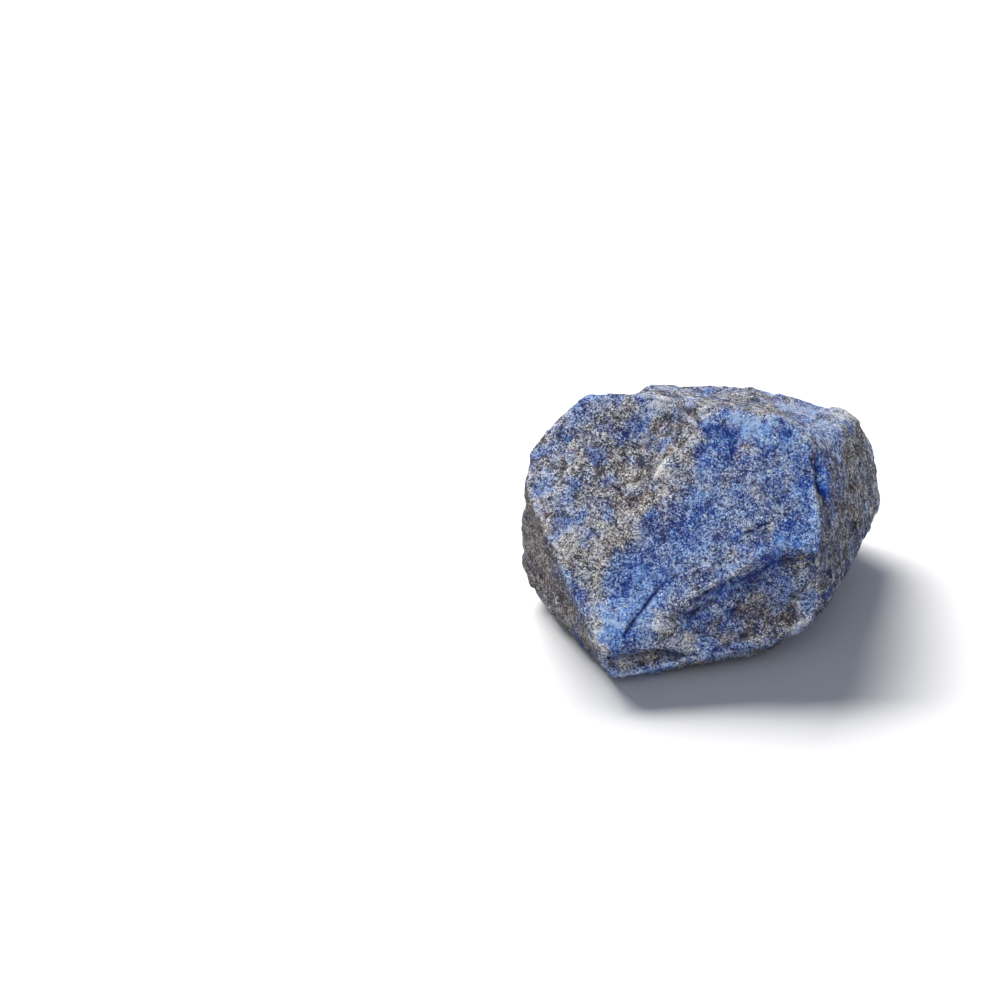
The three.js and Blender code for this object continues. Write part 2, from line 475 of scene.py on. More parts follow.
def calc(tree, operation, a, b=0.0, c=0.0):
    return put(tree, "ShaderNodeMath", {0: a, 1: b, 2: c}, operation=operation).outputs[0]


def vector(tree, operation, a, b=(0, 0, 0)):
    node = put(tree, "ShaderNodeVectorMath", {0: a, 1: b}, operation=operation)
    return node.outputs["Value" if operation in ("DOT_PRODUCT", "LENGTH") else "Vector"]


def scaled(tree, a, factor):
    return put(tree, "ShaderNodeVectorMath", {0: a, "Scale": factor}, operation="SCALE").outputs["Vector"]


def remapped(tree, value, start, end, low, high, **settings):
    """A value carried from one range to another, and kept within it."""
    sockets = {0: value, 1: start, 2: end, 3: low, 4: high}
    return put(tree, "ShaderNodeMapRange", sockets, **settings).outputs[0]


print("node sums ready")

# %% Make noise and cells
half = (0.5, 0.5, 0.5)


def cloud(tree, where, size, detail, roughness=0.5, swirl=0.0, kind="FBM"):
    """Cloudy noise with features of a given size."""
    shape = {"Scale": 1 / (size * MM), "Detail": detail, "Roughness": roughness, "Distortion": swirl}
    return put(tree, "ShaderNodeTexNoise", {"Vector": where, **shape}, noise_type=kind).outputs


def cells(tree, where, size, **settings):
    """Cells of a given size, each with a random colour."""
    sockets = {"Vector": where, "Scale": 1 / (size * MM)}
    return put(tree, "ShaderNodeTexVoronoi", sockets, **settings).outputs


def centred_noise(tree, where, size, detail, roughness=0.5):
    """Noise between about -1 and 1."""
    return calc(tree, "MULTIPLY_ADD", cloud(tree, where, size, detail, roughness)[0], 2.0, -1.0)


def shifted(tree, where, size, amount):
    """Places shifted by up to about an amount, in all three directions."""
    shift = vector(tree, "SUBTRACT", cloud(tree, where, size, detail=2.0)["Color"], half)
    return vector(tree, "ADD", where, scaled(tree, shift, 2 * amount * MM))


print("noise and cells ready")

# %% [markdown]
# ## Broken texture
# Rock breaks in little tilted plates. A Voronoi texture gives each plate a cell, and a plane with a random
# tilt in each cell gives its surface, so neighbours meet in small steps. Geometry nodes do this at two
# sizes, add a slow swell and a fine grain, and move every point along its normal. The flat spot that the
# stone rests on stays flat.

# %% Add up the height of the broken texture
swell_height = 0.5 * MM
grain_height = 0.055 * MM
jump_share = (0.6, 0.6, 0.6)
flat_below = 0.12 * MM
free_above = 0.9 * MM

relief = bpy.data.node_groups.new("Broken texture", "GeometryNodeTree")
relief.interface.new_socket("Geometry", in_out="INPUT", socket_type="NodeSocketGeometry")
relief.interface.new_socket("Geometry", in_out="OUTPUT", socket_type="NodeSocketGeometry")
group_in = put(relief, "NodeGroupInput")
group_out = put(relief, "NodeGroupOutput")
position = put(relief, "GeometryNodeInputPosition").outputs[0]
normal = put(relief, "GeometryNodeInputNormal").outputs[0]


def plates(where, size, tilt, lift):
    """Tilted plates: the height of every place, in metres."""
    plate = cells(relief, where, size)
    lean = vector(relief, "SUBTRACT", plate["Color"], half)
    from_middle = vector(relief, "SUBTRACT", where, plate["Position"])
    slope = calc(relief, "MULTIPLY", vector(relief, "DOT_PRODUCT", from_middle, lean), tilt)
    jump = calc(relief, "MULTIPLY", vector(relief, "DOT_PRODUCT", lean, jump_share), lift * MM)
    return calc(relief, "ADD", slope, jump)


bent = shifted(relief, position, size=1.8, amount=0.9)
slow = centred_noise(relief, position, size=8.0, detail=1.0)
swell = calc(relief, "MULTIPLY", slow, swell_height)
large_plates = plates(bent, size=3.6, tilt=0.15, lift=0.06)
small_plates = plates(shifted(relief, position, size=0.8, amount=0.35), size=1.2, tilt=0.22, lift=0.05)
sugar = centred_noise(relief, position, size=0.5, detail=2.0, roughness=0.65)
fine_grain = calc(relief, "MULTIPLY", sugar, grain_height)
carved = put(relief, "GeometryNodeInputNamedAttribute", {"Name": "carve"}, data_type="FLOAT").outputs[0]
coarse = calc(relief, "ADD", swell, large_plates)
fine = calc(relief, "ADD", small_plates, fine_grain)
total = calc(relief, "ADD", coarse, fine)
above_table = put(relief, "ShaderNodeSeparateXYZ", {0: position}).outputs["Z"]
off_base = remapped(relief, above_table, flat_below, free_above, 0.0, 1.0, clamp=True)
total = calc(relief, "MULTIPLY", calc(relief, "ADD", total, carved), off_base)
sockets = {"Geometry": group_in.outputs[0], "Offset": scaled(relief, normal, total)}
moved = put(relief, "GeometryNodeSetPosition", sockets)
relief.links.new(moved.outputs[0], group_out.inputs[0])
print("broken texture has", len(relief.nodes), "nodes")

# %% Break the surface
wear_rounds = 2

pick(stone)
breaking = stone.modifiers.new("Broken texture", "NODES")
breaking.node_group = relief
bpy.ops.object.modifier_apply(modifier=breaking.name)

# Where plates meet across a sharp edge they leave thin fins. Two gentle rounds take most of them away.
smooth("Wear", wear_rounds)
bpy.ops.object.shade_smooth()
stone.data.attributes.remove(stone.data.attributes["carve"])
print("stone reaches", in_mm(points_of(stone.data).max(0)), "mm")

# %% [markdown]
# ## The last fins
# A fin that is left sticks far out of its surroundings. So each point is compared with a smoothed copy of
# the stone, and only the points that lie well off it are filed down, by more smoothing rounds.

# %% Average over the neighbours
edge_ends = np.empty(len(stone.data.edges) * 2, dtype=np.int64)
stone.data.edges.foreach_get("vertices", edge_ends)
edge_ends = edge_ends.reshape(-1, 2)
neighbours = np.bincount(edge_ends.ravel(), minlength=len(stone.data.vertices)).astype(float)


def relaxed(values, rounds):
    """Values averaged over ever wider neighbourhoods."""
    for _ in range(rounds):
        total = np.zeros_like(values)
        np.add.at(total, edge_ends[:, 0], values[edge_ends[:, 1]])
        np.add.at(total, edge_ends[:, 1], values[edge_ends[:, 0]])
        values = 0.5 * values + 0.5 * total / neighbours[:, None]
    return values


print("a point has", round(float(neighbours.mean()), 2), "neighbours")

# %% File the fins
fin_starts = 0.16
fin_range = 0.08
filing_rounds = 12
averaging_rounds = 8

points = points_of(stone.data)
gap = np.linalg.norm(points - relaxed(points, averaging_rounds), axis=1) / MM
fin_weight = np.clip((gap - fin_starts) / fin_range, 0, 1)
fins = stone.vertex_groups.new(name="Fins")
for i in np.flatnonzero(fin_weight):
    fins.add([int(i)], float(fin_weight[i]), "REPLACE")
smooth("Filed fins", filing_rounds, only=fins)
stone.vertex_groups.clear()
print("filed", int((fin_weight > 0).sum()), "points")

# %% [markdown]
# ## Painting where each mineral lies
# Lapis is a mixture: blue lazurite, white calcite, grey and brown country rock, and rusty stains. Six
# layers hold a number for every point of the stone: how much lazurite, rust and chalky calcite there is,
# how much painted shade darkens it, how calm its grain is, and how bright it is, which is partly painted
# light and shade. The first three start as slow noise, which is all that the hidden sides need. Dabs of a
# soft round brush, and streaks drawn with it, then bring each layer to a value where the stone is plain to
# see. Radii and widths are in millimetres.

# %% Start the layers
points = points_of(stone.data)
normals = np.empty(len(points) * 3)
stone.data.vertices.foreach_get("normal", normals)
normals = normals.reshape(-1, 3)
bpy.context.view_layer.update()
shaken = points + wander(points, 1.4 * MM, 0.75 * MM) + wander(points, 0.5 * MM, 0.32 * MM)


def slow_noise(size, seed):
    shift = Vector((seed * 17.3, seed * 5.1, seed * 9.7))
    return np.array([noise.noise(Vector(p) / (size * MM) + shift) for p in points])


lazurite = np.clip(0.42 + 0.55 * slow_noise(7, 1) + 0.3 * slow_noise(2.6, 2), 0, 1)
rust = np.clip(0.22 + 0.7 * slow_noise(6, 3) + 0.3 * slow_noise(2.2, 4), 0, 1)
chalk = np.clip(0.05 + 0.5 * slow_noise(3.5, 5), 0, 1)
shade = np.zeros(len(points))
calm = np.zeros(len(points))
bright = np.zeros(len(points))


def dab(layer, value, *lists, strength=0.85, **named_lists):
    """Brings a layer to a value around spots, each of them x, y in the frame and a radius."""
    for spots in (*lists, *named_lists.values()):
        for x, y, radius in spots:
            distance = np.linalg.norm(shaken - np.array(on_stone((x, y))), axis=1)
            layer[:] += (value - layer) * strength * np.clip(1.6 * fade(distance, radius * MM), 0, 1)


def streak(layer, value, width, *routes, strength=0.9, looseness=0.5, **named_routes):
    """Brings a layer to a value along routes of spots in the frame, within a half width."""
    loose = looseness * shaken + (1 - looseness) * points
    for route in (*routes, *named_routes.values()):
        distance, share, _, _ = along(route_on_stone(route), loose)
        layer[:] += (value - layer) * strength * fade(distance, width * MM) * (0.4 + 0.6 * taper(share))


def cover(layer, least):
    """The share of the points where a layer is above a value, as a text."""
    return f"{(layer > least).mean():.0%} of the points"


print("layers start at", [round(float(layer.mean()), 2) for layer in (lazurite, rust, chalk)])

# %% [markdown]
# ## Shared routes
# A rubbed edge is paler, chalkier and brighter at once, so its route is used for several layers. Such
# routes and spots are written down once. Every other list is named where it is painted.

# %% Write down the shared routes
pocket = [(816, 460, 1.4), (818, 468, 1.7), (821, 477, 1.9), (824, 486, 1.6), (827, 494, 1.1)]
pocket_top = pocket[:3]
pocket_foot = pocket[3:]
blue_corner = [(806, 486, 1.3), (807, 499, 1.2)]
right_edge = [(807, 450), (811, 468), (815, 485), (817, 505), (818, 530), (819, 550), (819, 580)]
top_of_plate = [(704, 424), (720, 417), (742, 417), (764, 422), (785, 423), (798, 431)]
left_edge = [(531, 470), (534, 490), (545, 514), (558, 542), (573, 578), (587, 610), (598, 640)]
lower_rim = [
    (605, 668), (620, 676), (640, 673), (660, 667), (680, 660),
    (705, 656), (730, 652), (760, 645), (785, 638), (800, 631),
]
far_rim = [(814, 612), (827, 596), (838, 576), (849, 558)]
under_lip = [(694, 604), (706, 598), (720, 591), (735, 582), (750, 574), (765, 567), (785, 560), (806, 554)]
# Under the front rim the stone is painted brown, and dark as painted shade.
overhang = below_rim(back=1.1, down=1.7)
print("the overhang's route runs from", in_mm(overhang[0]), "to", in_mm(overhang[-1]), "mm")

# %% [markdown]
# ## Lazurite
# The blue mineral is what makes the rock lapis. Wide dabs lay the broad areas first, strong in the middle
# and weak on the grey face at the left. Small ones then set flecks into them, and the edges come last.

# %% Lay the broad blue and grey areas
dab(lazurite, 0.32, grey_areas=[(585, 460, 9), (625, 415, 6), (560, 510, 6), (600, 530, 6)])
dab(lazurite, 0.2, greyest_areas=[
    (640, 465, 5.5), (630, 500, 4), (690, 430, 3), (610, 540, 4), (585, 550, 3)])
dab(lazurite, 0.64, blue_areas=[(750, 480, 9), (700, 530, 7), (650, 580, 6), (740, 550, 5)])
dab(lazurite, 0.8, bluest_areas=[
    (720, 438, 3), (745, 436, 3), (785, 438, 3.5), (800, 470, 2.6), (804, 500, 2.4), (800, 525, 2.6)])
dab(lazurite, 0.84, nose=[(622, 615, 5), (630, 640, 4), (640, 580, 5)])
dab(lazurite, 0.68, plate_sides=[(690, 545, 4), (790, 500, 4)])
dab(lazurite, 0.6, ledge_and_trough=[(720, 620, 6), (760, 580, 6), (790, 590, 4)])
dab(lazurite, 0.31, back_slope=[(700, 400, 7), (740, 400, 6), (670, 395, 4)])
dab(lazurite, 0.55, corner=[(800, 410, 5), (825, 430, 5), (832, 450, 3)])
dab(lazurite, 0.32, crest=[(655, 388, 3), (675, 386, 3), (698, 387, 3), (725, 390, 3.5), (755, 393, 3.5)])
dab(lazurite, 0.22, end_face=[(860, 440, 5), (855, 480, 5), (865, 510, 4)])
dab(lazurite, 0.34, end_face_foot=[(846, 522, 3.4), (841, 560, 2.8)])
dab(lazurite, 0.52, lilac_zone=[(866, 518, 1.5), (859, 533, 1.6), (850, 546, 1.5), (838, 552, 1.2)])
dab(lazurite, 0.05, left_face=[(540, 560, 7), (535, 520, 3), (565, 610, 4), (585, 640, 2)])
print("lazurite above 0.6 on", cover(lazurite, 0.6))

# %% Set the deep blue flecks
dab(lazurite, 0.97, top_flecks=[
    (712, 432, 1.3), (722, 432, 1.3), (733, 430, 0.9), (783, 428, 1.4), (791, 432, 1.3), (787, 437, 1)])
dab(lazurite, 0.86, top_edge_flecks=[
    (718, 446, 1.2), (726, 446, 1), (702, 455, 1.5), (705, 464, 1.3), (700, 472, 1.2), (803, 449, 1)])
dab(lazurite, 0.92, right_flecks=[
    (806, 490, 1.1), (810, 478, 0.9), (809, 501, 1), (795, 525, 1.7), (806, 530, 1.3), (785, 522, 1.3)])
dab(lazurite, 0.95, middle_flecks=[
    (733, 535, 1.1), (739, 533, 0.8), (690, 541, 1.6), (700, 546, 1.4), (680, 553, 1.3), (672, 557, 1.2)])
dab(lazurite, 0.85, left_flecks=[
    (703, 508, 1.5), (706, 517, 1.5), (694, 526, 1.5), (683, 531, 1.3), (645, 528, 1.4), (651, 518, 1.2)])
dab(lazurite, 0.86, foot_flecks=[
    (641, 571, 1.6), (649, 585, 1.4), (638, 591, 1.4), (616, 590, 1.4), (620, 600, 1.3), (611, 580, 1)])
dab(lazurite, 1, nose_flecks=[
    (666, 572, 1), (632, 614, 1), (612, 645, 1), (618, 648, 0.9), (597, 657, 0.9)])
dab(lazurite, 0.96, lip_flecks=[
    (760, 554, 1.5), (769, 552, 1.4), (777, 550, 1.3), (716, 594, 1.3), (723, 592, 1.1), (750, 593, 1)])
dab(lazurite, 0.9, trough_flecks=[
    (770, 565, 1.5), (760, 575, 1.5), (737, 583, 1.3), (748, 583, 1.4), (690, 620, 1), (685, 629, 1.1)])
dab(lazurite, 0.64, top_patches=[
    (745, 423, 1.5), (755, 424, 1.3), (764, 429, 1.4), (765, 446, 1.3), (735, 414, 1.3), (798, 444, 1.1)])
dab(lazurite, 0.7, middle_patches=[
    (785, 540, 1.6), (795, 543, 1.4), (780, 535, 1.2), (731, 542, 1), (742, 545, 1), (690, 495, 1.3)])
dab(lazurite, 0.5, dull_patches=[
    (755, 489, 1.5), (747, 491, 1.2), (770, 500, 1.3), (776, 510, 1), (740, 455, 1.3), (755, 468, 1.4)])
dab(lazurite, 0.7, nose_patches=[
    (613, 625, 1.6), (608, 636, 1.3), (605, 615, 1.1), (646, 633, 1.3), (650, 637, 1), (702, 582, 1)])
dab(lazurite, 0.66, ledge_patches=[
    (715, 638, 1.3), (722, 646, 1.2), (745, 648, 1.2), (701, 648, 1), (805, 604, 1.5), (812, 597, 1.3)])
print("lazurite above 0.9 on", cover(lazurite, 0.9))

# %% Set the paler and greyer flecks
dab(lazurite, 0.45, grey_flecks=[
    (690, 485, 1.3), (706, 487, 1), (725, 485, 1.1), (716, 551, 1.5), (730, 556, 1.4), (706, 560, 1.2)])
dab(lazurite, 0.38, grey_specks=[
    (675, 605, 1.2), (661, 615, 1.2), (670, 626, 1), (748, 447, 1), (735, 470, 1)])
dab(lazurite, 0.22, brown_ledge=[
    (788, 615, 2), (775, 622, 2.2), (762, 612, 1.8), (748, 626, 1.8), (727, 640, 1.2), (790, 626, 1.5),
    (742, 612, 1.5), (750, 600, 1.3), (758, 598, 1)])
dab(lazurite, 0.68, blue_on_grey_top=[
    (548, 447, 1.4), (541, 455, 1.2), (583, 410, 1.5), (590, 400, 1.1), (617, 401, 1.3), (636, 400, 1.3)])
dab(lazurite, 0.74, blue_on_grey_middle=[
    (643, 414, 1.4), (641, 424, 1), (590, 452, 1.3), (597, 456, 1.2), (600, 464, 0.9), (666, 446, 1.4)])
dab(lazurite, 0.64, blue_on_grey_ridge=[
    (628, 432, 1.6), (620, 438, 1.2), (636, 436, 1.2), (571, 430, 1.3), (567, 438, 1), (655, 448, 1.2)])
dab(lazurite, 0.66, blue_on_the_left=[
    (545, 488, 1.4), (538, 490, 1), (575, 485, 1.5), (570, 493, 1.3), (575, 512, 1.6), (566, 520, 1.3)])
dab(lazurite, 0.6, blue_on_the_foot=[
    (605, 480, 1.2), (560, 533, 1.4), (590, 533, 1.2), (582, 545, 0.9), (610, 513, 1.3), (556, 520, 1)])
dab(lazurite, 0.8, rim_flecks=[
    (705, 390, 1), (847, 560, 1.2), (852, 549, 1.1), (840, 573, 1), (826, 594, 1.3), (655, 406, 0.9)])
dab(lazurite, 0.66, end_flecks=[
    (832, 440, 1.5), (835, 452, 1.2), (832, 428, 1.3), (838, 420, 1.4), (866, 506, 1.2), (850, 428, 1.3)])
dab(lazurite, 0.72, edge_flecks=[
    (800, 546, 1.3), (808, 550, 1.1), (793, 556, 1), (812, 560, 0.9), (813, 572, 0.9)])
dab(lazurite, 0.84, plate_edge=[
    (803, 462, 1), (806, 474, 1), (808, 486, 1.1), (808, 500, 1.2), (808, 514, 1.1), (808, 530, 1.1)])
dab(lazurite, 1, pocket, strength=1)
dab(lazurite, 0.4, shoulder_spots=[
    (662, 401, 1.2), (655, 403, 1), (668, 406, 1), (680, 412, 1.2), (692, 416, 1.2), (798, 562, 1)])
dab(lazurite, 0.22, rusty_foot=[(625, 661, 1.3), (640, 659, 1.4), (655, 657, 1.4), (668, 655, 1)])
dab(lazurite, 0.72, rim_blue=[
    (612, 672, 1.1), (630, 674, 1), (648, 669, 1), (668, 664, 1), (690, 659, 1), (605, 662, 1)])
dab(lazurite, 0.75, rim_specks=[(720, 655, 0.9), (745, 651, 0.9), (770, 645, 0.9), (662, 662, 0.8)])
print("lazurite above 0.6 on", cover(lazurite, 0.6))

# %% Finish the blue along the edges
streak(lazurite, 0.62, 0.48, right_edge, strength=1, looseness=0.1)
streak(lazurite, 0.72, 1.3, top_of_plate)
streak(lazurite, 0.62, 1.2, lower_rim, strength=1, looseness=0.2)
streak(lazurite, 0.45, 1.2, looseness=0.2, rubbed_rim=[(786, 638), (798, 631), (808, 622), (816, 612)])
streak(lazurite, 0.6, 0.7, far_rim, looseness=0.2)
dab(lazurite, 0.6, corner_edge=[(840, 422, 1.5), (839, 438, 1.4), (837, 453, 1.3)])
dab(lazurite, 0.8, pale_top=[
    (735, 416, 1.6), (747, 424, 1.7), (758, 424, 1.7), (766, 432, 1.6), (768, 443, 1.3)])
dab(lazurite, 0.86, clear_flecks=[(788, 541, 1.4), (779, 536, 1.1), (795, 546, 1.2)])
dab(lazurite, 0.3, white_spot=[(662, 402, 1.7), (669, 407, 1.2), (682, 412, 1), (692, 416, 1)])
dab(lazurite, 0.98, blue_corner)
dab(lazurite, 0.8, below_blue_corner=[(812, 520, 1.1), (812, 535, 1.2), (812, 546, 1.2)])
dab(lazurite, 0.94, top_pair=[(718, 447, 1.2), (726, 447, 1)])
dab(lazurite, 0, strength=1, cream_spots=[(671, 452, 1.2), (664, 460, 1.2), (657, 470, 1.2)])
streak(lazurite, 0.15, 1.2, overhang, strength=1, looseness=0.1)
print("lazurite above 0.6 on", cover(lazurite, 0.6))

# %% [markdown]
# ## Rust
# Iron in the rock weathers to a warm brown, on the outer skin at the left, in a patch below the grey
# ridge, and on the ledge. The clean blue faces have next to none.

# %% Paint the rust
dab(rust, 0.1, clean_areas=[
    (750, 480, 10), (700, 540, 8), (640, 590, 7), (620, 620, 5), (780, 520, 5), (720, 600, 5)])
dab(rust, 0.15, nearly_clean_areas=[
    (570, 430, 8), (560, 500, 7), (600, 540, 6), (760, 405, 6), (820, 430, 6)])
dab(rust, 0.4, stained_areas=[(640, 470, 5), (625, 500, 4), (695, 435, 3), (620, 415, 3)])
dab(rust, 0.95, rusty_patch=[
    (626, 499, 1.8), (636, 506, 1.6), (648, 502, 1.4), (656, 504, 1.1), (631, 510, 1.3), (605, 457, 0.9),
    (664, 432, 1.3)])
dab(rust, 0.6, grey_face_spots=[
    (612, 455, 1.1), (625, 452, 1), (669, 437, 1), (585, 479, 1.1), (593, 472, 1), (580, 434, 1.3)])
dab(rust, 0.55, faint_spots=[
    (578, 448, 1), (606, 413, 1.1), (612, 405, 1), (625, 412, 1), (699, 434, 1.1), (690, 446, 1.2),
    (622, 535, 1.4), (614, 531, 1), (573, 552, 1), (742, 444, 1.1), (822, 453, 1.2), (840, 486, 1.2)])
dab(rust, 0.85, foot_of_nose=[
    (655, 648, 1.3), (666, 646, 1), (626, 660, 1.3), (641, 658, 1.4), (656, 657, 1.4), (668, 655, 1)])
dab(rust, 0.6, brown_ledge=[
    (788, 615, 2), (775, 622, 2), (762, 610, 1.7), (750, 603, 1.4), (746, 626, 1.7), (733, 634, 1.2),
    (742, 612, 1.4)])
dab(rust, 0.75, ledge_spots=[(722, 641, 1.1), (760, 630, 1.3)])
dab(rust, 0.45, lip_spots=[(797, 566, 1.2), (802, 558, 0.8), (786, 563, 0.8)])
dab(rust, 0.5, end_face_and_crest=[
    (855, 450, 4), (850, 490, 4), (842, 530, 4), (705, 405, 3), (735, 404, 2)])
dab(rust, 0.85, left_face=[(540, 545, 5), (550, 590, 4), (535, 510, 3), (575, 625, 3), (545, 570, 3)])
dab(rust, 0, pocket, strength=1)
streak(rust, 0.5, 1.2, overhang, strength=1, looseness=0.1)
print("rust above 0.5 on", cover(rust, 0.5))

# %% [markdown]
# ## Chalky calcite
# Calcite shows as pale crumbs and veins, and as the bloom of crushed rock along every edge that was
# knocked. The crumbs are dabs, and the bloom is streaks along the edges.

# %% Dab the chalky spots
dab(chalk, 0.05, bare_areas=[
    (750, 480, 9), (690, 540, 7), (640, 590, 6), (760, 590, 6), (640, 460, 5), (590, 460, 7)])
dab(chalk, 0.15, nearly_bare_areas=[(560, 500, 6), (600, 550, 4), (730, 400, 5), (820, 425, 5)])
dab(chalk, 0.85, white_spots=[
    (534, 473, 1.4), (531, 482, 1), (541, 468, 1), (662, 401, 1.2), (655, 403, 1), (668, 406, 0.9)])
dab(chalk, 0.5, left_edge_spots=[(539, 506, 1), (545, 530, 1), (625, 397, 0.9)])
dab(chalk, 0.75, left_face_vein=[(551, 540, 1), (567, 546, 1.7), (576, 540, 1.2), (560, 553, 1)])
dab(chalk, 0.7, shoulder_spots=[
    (680, 412, 1.3), (692, 416, 1.3), (705, 416, 1.1), (717, 417, 1.1), (690, 441, 0.8), (697, 430, 0.8)])
dab(chalk, 0.42, ridge_spots=[
    (672, 452, 1.1), (664, 459, 1), (667, 467, 0.9), (655, 473, 1), (648, 482, 0.9)])
dab(chalk, 1, strength=1, crumbs=[
    (718, 512, 0.6), (764, 530, 0.7), (771, 534, 0.6), (749, 641, 0.7), (697, 520, 0.6), (735, 491, 0.6)])
dab(chalk, 0.7, rim_crumbs=[
    (808, 622, 0.9), (801, 628, 0.8), (795, 632, 0.7), (631, 635, 0.8), (640, 636, 0.7), (692, 590, 0.7)])
dab(chalk, 0.38, top_patches=[
    (745, 423, 1.5), (755, 424, 1.3), (764, 429, 1.5), (765, 446, 1.3), (735, 414, 1.4), (798, 444, 1.1)])
dab(chalk, 0.34, faint_patches=[
    (785, 540, 1.6), (795, 543, 1.3), (742, 545, 1), (755, 489, 1.5), (770, 500, 1.2), (692, 493, 1.2),
    (613, 625, 1.7), (608, 636, 1.3), (646, 633, 1.3), (702, 582, 1), (672, 560, 0.9), (568, 432, 1)])
dab(chalk, 0.3, fainter_patches=[
    (805, 604, 1.5), (815, 600, 1.3), (722, 645, 1.2), (600, 443, 1), (628, 425, 1), (832, 440, 1.5)])
dab(chalk, 0.45, lower_rim_spots=[
    (615, 674, 1), (633, 675, 1), (650, 670, 0.9), (670, 664, 0.9), (700, 658, 0.9), (730, 654, 0.9)])
dab(chalk, 0.3, corner=[(825, 425, 3), (812, 415, 3), (838, 415, 3)])
dab(chalk, 0.65, nose=[(612, 618, 2.4), (610, 634, 2.4), (650, 630, 2.4), (604, 648, 2)])
dab(chalk, 0.55, clear_flecks=[(788, 541, 1.2), (780, 536, 1), (797, 545, 1)])
dab(chalk, 0.2, grey_foot=[(580, 530, 5), (610, 550, 4), (565, 500, 4), (600, 500, 4), (640, 470, 4)])
dab(chalk, 0.45, right_rim_spots=[
    (757, 648, 0.9), (780, 643, 0.9), (818, 610, 0.9), (827, 596, 1), (838, 576, 0.9), (849, 558, 0.9)])
print("chalk above 0.3 on", cover(chalk, 0.3))

# %% Rub the edges chalky
streak(chalk, 0.6, 0.22, right_edge, looseness=0.1)
streak(chalk, 0.48, 1.2, top_of_plate)
streak(chalk, 0.62, 0.45, lower_rim, looseness=0.2)
streak(chalk, 0.85, 0.75, looseness=0.2, rubbed_rim=[(790, 636), (798, 630), (806, 624), (812, 616)])
streak(chalk, 0.45, 0.6, far_rim, looseness=0.2)
streak(chalk, 0.3, 0.8, left_edge)
streak(chalk, 0.65, 0.28, pale_line=[(712, 441), (722, 440), (733, 439), (745, 436)])
streak(chalk, 0.8, 0.55, looseness=0.3, cream_ridge=[(673, 450), (666, 458), (661, 468), (654, 476)])
streak(chalk, 0.45, 0.5, upper_ridge=[(690, 443), (697, 436), (700, 425)])
dab(chalk, 0, pocket, strength=1)
dab(chalk, 0.7, pale_top=[(745, 423, 1.3), (757, 424, 1.3), (765, 430, 1.4), (768, 442, 1.2)])
dab(chalk, 0, blue_corner)
streak(chalk, 0, 1.2, overhang, strength=1, looseness=0.1)
print("chalk above 0.3 on", cover(chalk, 0.3))

# %% [markdown]
# ## Painted shade
# The shade layer paints shade into the colour: in the cracks and the pocket's wall, under the lip of the
# plate, below the overhang, and more faintly over the ledge and the two end faces, where less light falls.
# The end face has thin dark lines that run from top to bottom.

# %% Darken the cracks and the lip
# Painted shade in the cracks, under the lip and along the pocket's wall, where shade falls.
streak(shade, 1, 0.17, crack, strength=1, looseness=0.1)
streak(shade, 0.7, 0.2, strength=1, looseness=0.1, crack_tail=[
    (661, 586), (666, 582), (673, 577), (684, 571)])
streak(shade, 0.95, 0.42, strength=1, looseness=0.2, lip_root=[
    (690, 602), (700, 596), (712, 589), (723, 583), (736, 577)])
streak(shade, 0.8, 1.1, under_lip, strength=1, looseness=0.4)
streak(shade, 0.95, 0.3, strength=1, looseness=0.2, lip_shadow=[
    (722, 585), (736, 577), (748, 568), (758, 561), (772, 556)])
streak(shade, 0.6, 1.3, trough=[(752, 570), (768, 563), (782, 560), (798, 556)])
streak(shade, 0.8, 0.5, strength=1, looseness=0.2, below_lip=[(683, 614), (693, 611), (702, 606)])
streak(shade, 1, 0.42, strength=1, looseness=0.1, pocket_wall=[
    (810, 453), (812, 464), (814, 476), (817, 487), (822, 498), (826, 508)])
streak(shade, 0.75, 0.3, strength=1, looseness=0.2, slit=[
    (724, 543), (735, 538), (748, 532), (757, 528), (770, 522), (778, 519)])
streak(shade, 0.6, 0.26, upper_chip=[(762, 453), (765, 459), (769, 466)])
streak(shade, 0.85, 0.45, ledge_hollow=[(733, 643), (741, 637), (750, 633), (758, 629)])
streak(shade, 0.75, 0.9, looseness=0.2, edge_shadow=[(822, 500), (822, 530), (823, 560), (822, 590)])
streak(shade, 0.7, 0.35, foot=[(602, 655), (622, 654), (640, 651), (656, 650), (672, 652), (690, 657)])
print("stained above 0.5 on", cover(shade, 0.5))

# %% Dab painted shade on the faces
# Painted shade on the lip's hollows, the ledge and the two end faces.
dab(shade, 0.85, lip_hollows=[
    (700, 597, 0.9), (710, 590, 0.9), (722, 584, 1), (690, 601, 0.6), (748, 585, 1.2), (794, 596, 0.6)])
dab(shade, 0.75, trough_hollows=[
    (747, 583, 1.3), (757, 580, 1.6), (768, 575, 1.5), (780, 568, 1.3), (714, 592, 1.1), (706, 600, 1)])
dab(shade, 0.7, ledge_hollows=[
    (693, 613, 0.9), (701, 606, 0.9), (688, 622, 0.9), (684, 630, 0.9), (740, 637, 0.9), (752, 632, 0.9)])
dab(shade, 0.6, ledge_stains=[
    (786, 613, 1.6), (791, 620, 1.4), (778, 624, 1.6), (765, 617, 1.4), (750, 612, 1.4), (778, 558, 1.1),
    (826, 505, 0.8), (666, 572, 0.9)])
dab(shade, 0.4, faint_stains=[
    (845, 526, 2.6), (838, 537, 2), (850, 492, 2.2), (530, 510, 1.5), (582, 432, 1.2), (584, 443, 1),
    (640, 414, 1), (668, 430, 0.9), (650, 437, 1), (722, 432, 1.2), (787, 434, 1.1), (612, 646, 0.8)])
dab(shade, 0.2, wide_veils=[
    (866, 440, 4.5), (858, 480, 5), (845, 530, 5), (534, 545, 3.2), (540, 580, 3.2), (568, 622, 2.4)])
